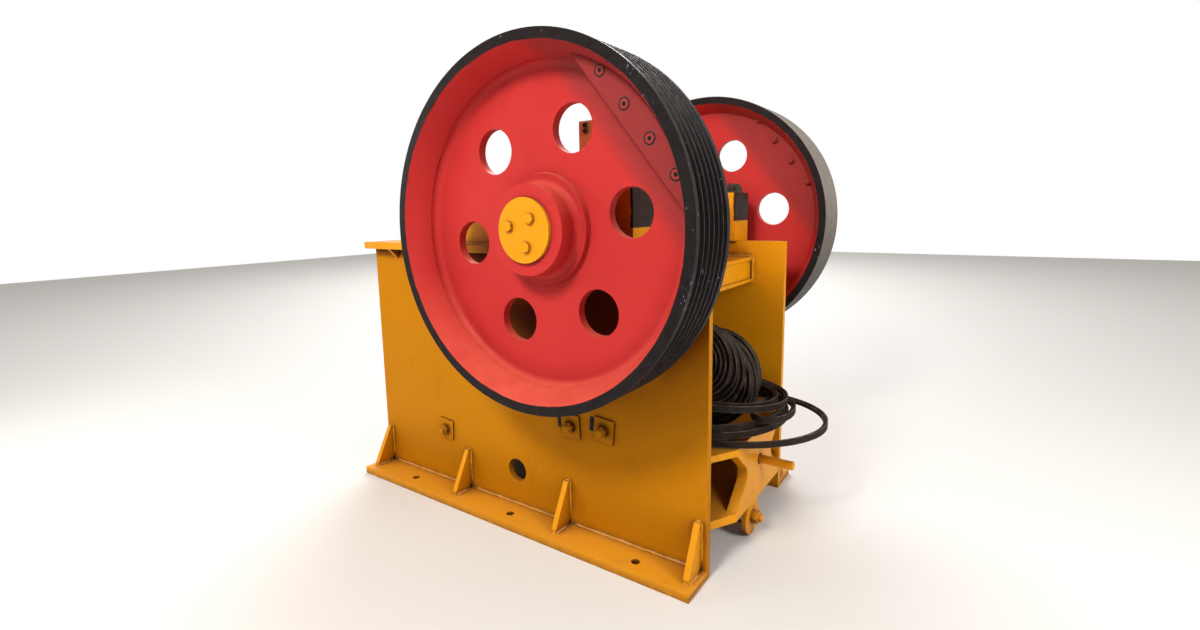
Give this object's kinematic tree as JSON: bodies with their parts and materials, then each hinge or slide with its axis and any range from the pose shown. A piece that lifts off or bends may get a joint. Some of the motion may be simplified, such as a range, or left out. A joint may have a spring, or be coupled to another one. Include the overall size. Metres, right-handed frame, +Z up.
{
  "type": "jaw crusher",
  "caption": "Single-toggle rock jaw crusher: welded plate frame on bolted base flanges, heavy flywheels on an eccentric shaft, toothed jaws, a toggle seat and stowed drive belts.",
  "frame": {"origin": "on the floor, at the centre of the anchor-bolt pattern in the base flanges", "axes": "+X from the feed end to the adjusting end, +Y across to the plain flywheel, +Z up"},
  "size_m": [1.6314, 1.266, 1.455],
  "materials": {
    "frame_paint": "satin orange-yellow paint with dust",
    "bearing_paint": "satin yellow paint, worn on the lugs",
    "wheel_red": "satin red paint",
    "jaw_steel": "worn manganese steel casting",
    "dark_steel": "oily dark steel",
    "belt_rubber": "matt black rubber"
  },
  "bodies": {
    "frame": {"side_plate_near": "frame_paint", "side_plate_far": "frame_paint", "base_flange_near": "frame_paint", "base_flange_far": "frame_paint", "gussets_near": "frame_paint", "gussets_far": "frame_paint", "feed_flange": "frame_paint", "feed_flange_ribs": "frame_paint", "feed_guards": "frame_paint", "front_wall": "frame_paint", "front_ribs": "frame_paint", "front_uprights": "frame_paint", "fixed_jaw_plate": "jaw_steel", "cheek_plate_near": "jaw_steel", "cheek_plate_far": "jaw_steel", "bearing_base_near": "bearing_paint", "bearing_base_far": "bearing_paint", "bearing_cap_near": "bearing_paint", "bearing_cap_far": "bearing_paint", "guard_post": "bearing_paint", "cross_beam": "frame_paint", "shelf_plate": "frame_paint", "floor_plate": "frame_paint", "rear_rib": "frame_paint", "reaction_wall": "frame_paint", "adjusting_rod": "frame_paint", "adjusting_shims": "dark_steel", "seat_block": "dark_steel", "toggle_plate": "jaw_steel", "tension_rod": "frame_paint", "tension_spring": "dark_steel", "spring_disc": "frame_paint", "spring_bracket": "frame_paint", "belt_coil": "belt_rubber", "belt_heap": "belt_rubber", "belt_loop": "belt_rubber"},
    "rotor": {"eccentric_shaft": "dark_steel", "flywheel_grooved": "wheel_red", "flywheel_plain": "wheel_red", "counterweight_near": "wheel_red", "counterweight_far": "wheel_red", "hub_cap_near": "bearing_paint", "hub_cap_far": "bearing_paint"},
    "swing_jaw_body": {"swing_jaw": "frame_paint", "swing_jaw_plate": "jaw_steel"}
  },
  "joints": [
    {"name": "shaft_spin", "type": "hinge", "parent": "frame", "child": "rotor", "pos_m": [0.301, 0, 0.98], "axis": [0, 1, 0], "continuous": true},
    {"name": "jaw_swing", "type": "hinge", "parent": "rotor", "child": "swing_jaw_body", "pos_m": [0.29318, 0, 0.97376], "axis": [0, 1, 0], "continuous": true}
  ],
  "couplings": [
    {"joint": "jaw_swing", "follows": "shaft_spin", "ratio": -1}
  ]
}
